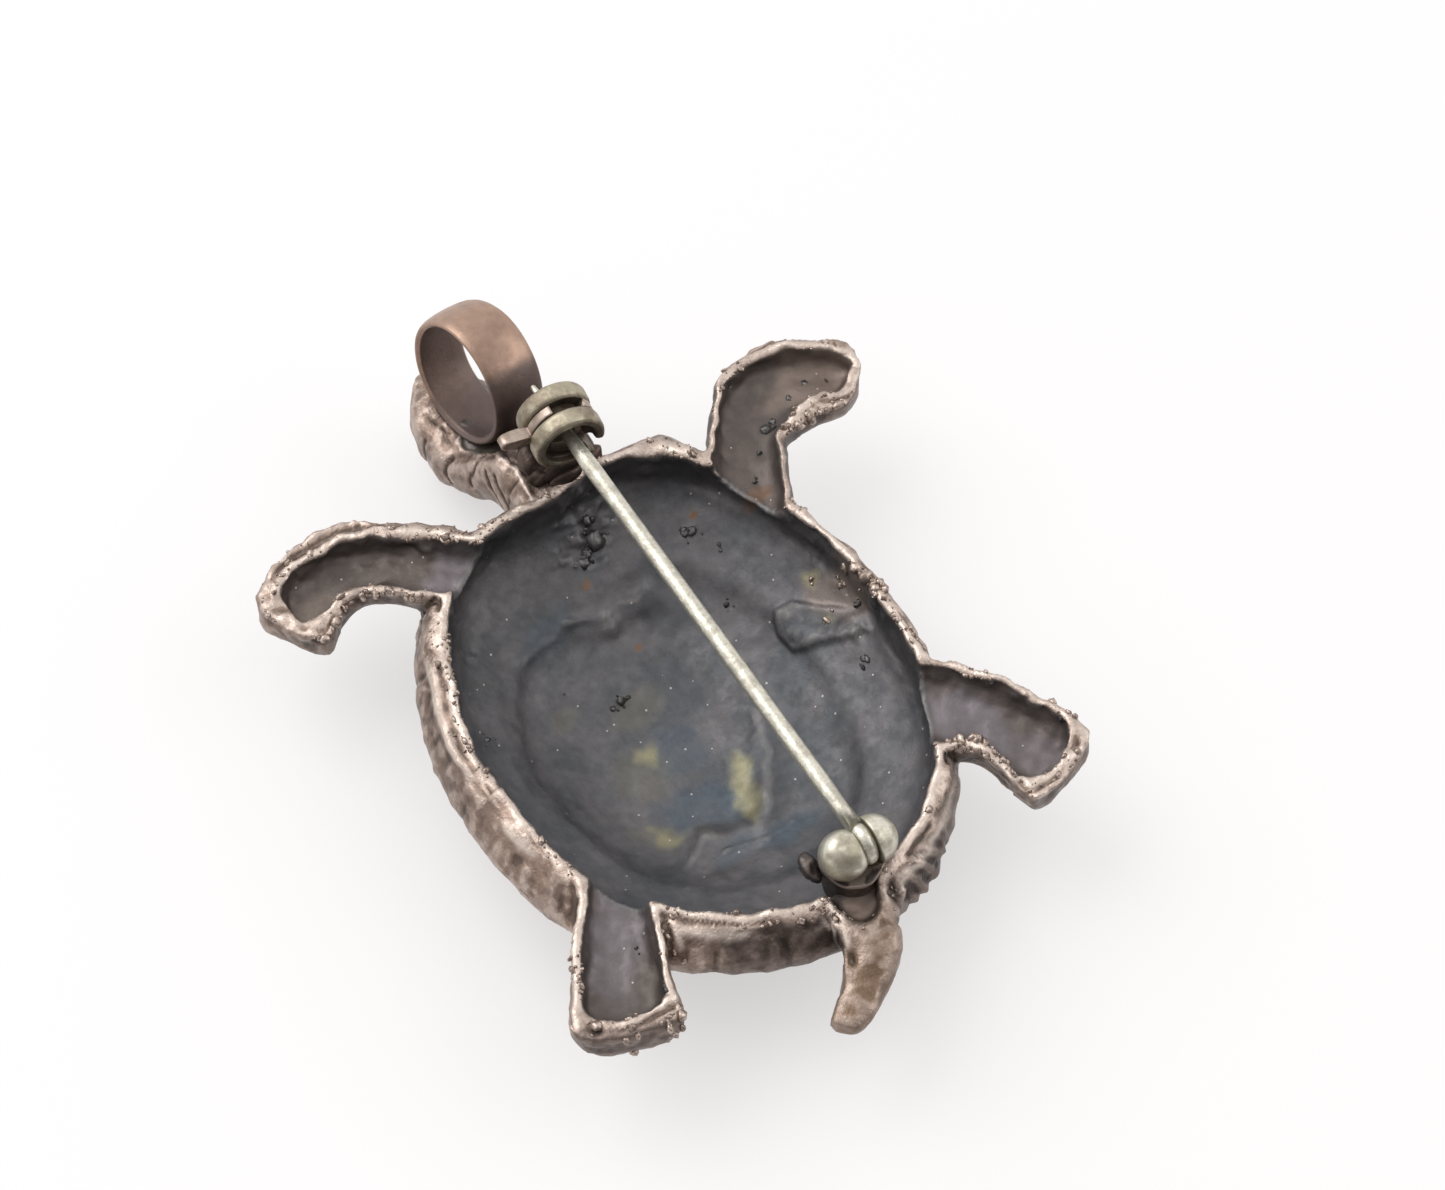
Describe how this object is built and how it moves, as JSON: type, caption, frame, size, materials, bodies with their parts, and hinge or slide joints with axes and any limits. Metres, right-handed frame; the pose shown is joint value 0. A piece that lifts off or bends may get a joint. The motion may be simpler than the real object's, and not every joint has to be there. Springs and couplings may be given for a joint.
{
  "type": "turtle brooch pendant",
  "caption": "Cast turtle brooch, open-backed, that doubles as a pendant: ring bail at the head, hinged pin stem, ball joint at the tail and rolling catch with a lever.",
  "frame": {"origin": "on the flat worn on the crown of the carapace, under the middle of the open back", "axes": "+Y to the turtle's head, +Z from the crown to the open back with the pin, +X to the side with the catch's mouth"},
  "size_m": [0.0314, 0.0411, 0.011],
  "materials": {
    "cast_silver": "tarnished cast silver",
    "nickel_rivet": "worn nickel silver",
    "nickel_wire": "drawn nickel silver wire",
    "brass_roller": "dulled"
  },
  "bodies": {
    "brooch": {"turtle_casting": "cast_silver", "joint_rivet": "nickel_rivet"},
    "pin": {"pin_stem": "nickel_wire"},
    "roller": {"catch_roller": "brass_roller"}
  },
  "joints": [
    {"name": "pin_hinge", "type": "hinge", "parent": "brooch", "child": "pin", "pos_m": [0.00192, -0.0113, 0.0081], "axis": [1, 0, 0], "range_deg": [0, 100]},
    {"name": "roller_turn", "type": "hinge", "parent": "brooch", "child": "roller", "pos_m": [0.00172, 0.014, 0.00922], "axis": [0.1045, 0.9945, 0], "range_deg": [0, 103]}
  ]
}
